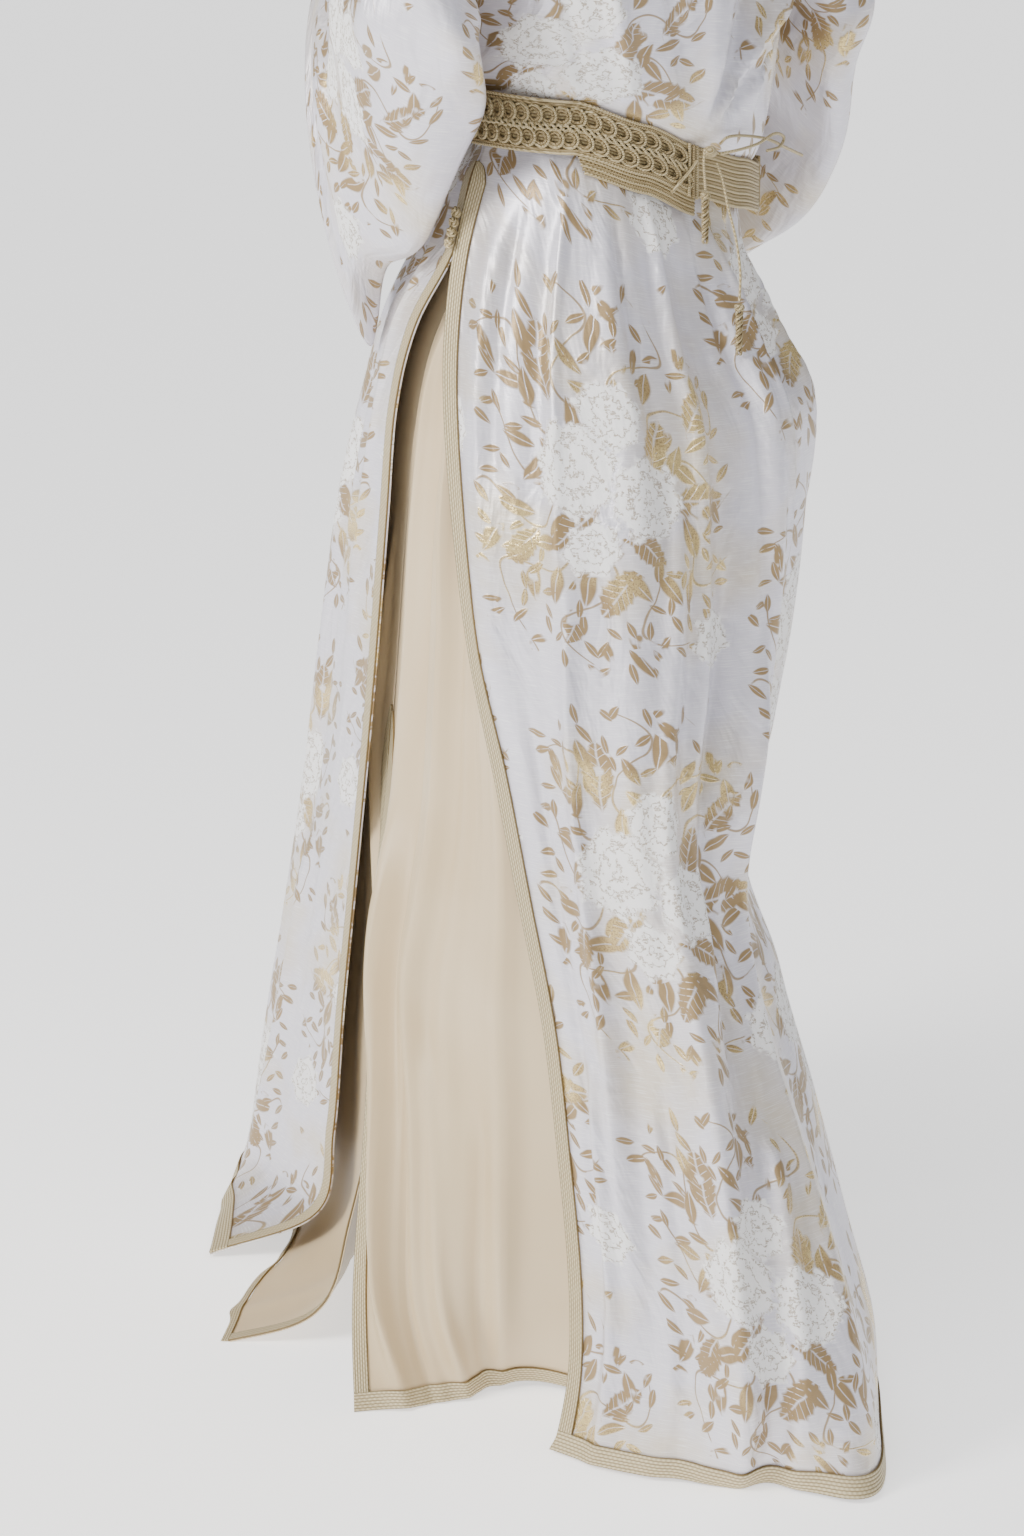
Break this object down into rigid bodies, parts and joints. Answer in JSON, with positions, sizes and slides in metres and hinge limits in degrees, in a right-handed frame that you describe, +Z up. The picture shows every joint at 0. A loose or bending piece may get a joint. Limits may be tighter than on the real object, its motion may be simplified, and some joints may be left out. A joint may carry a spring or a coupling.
{
  "type": "moroccan kaftan",
  "caption": "Belted two-layer Moroccan kaftan, silver floral brocade over champagne satin, with gold braid edges, side slits, knot buttons, a corded belt and tasselled ties, in its worn shape",
  "frame": {"origin": "middle of the neck at the shoulders, where the wearer's shoulders hold the robe up", "axes": "+Z up towards the head, -Y the way the wearer faces, +X the wearer's left"},
  "size_m": [0.5839, 0.9377, 1.4416],
  "materials": {
    "brocade": "lustrous silver-white floral brocade with gold foil leaves",
    "satin": "champagne satin",
    "braid": "gold silk braid of parallel chain cords",
    "belt": "woven and looped gold silk cord",
    "cord": "twisted gold silk cord"
  },
  "bodies": {
    "root": {"back_panel": "brocade", "front_panel": "brocade", "left_sleeve": "brocade", "right_sleeve": "brocade", "under_back_panel": "satin", "under_front_panel": "satin", "left_slit_braid_back": "braid", "left_slit_braid_front": "braid", "right_slit_braid_back": "braid", "right_slit_braid_front": "braid", "hem_braid_back": "braid", "hem_braid_front": "braid", "under_left_slit_braid_back": "braid", "under_left_slit_braid_front": "braid", "under_right_slit_braid_back": "braid", "under_right_slit_braid_front": "braid", "under_hem_braid_back": "braid", "under_hem_braid_front": "braid", "neck_braid_back": "braid", "neck_braid_front": "braid", "belt_band": "belt", "belt_strap": "belt", "belt_under_end": "belt", "left_button_1": "cord", "left_button_2": "cord", "left_button_3": "cord", "left_button_4": "cord", "right_button_1": "cord", "right_button_2": "cord", "right_button_3": "cord", "right_button_4": "cord", "tie_knot": "cord", "tie_binding": "cord", "tie_cord": "cord", "tie_loop": "cord", "short_tassel_cord": "cord", "long_tassel_cord": "cord", "short_tassel": "cord", "long_tassel": "cord"}
  },
  "joints": []
}
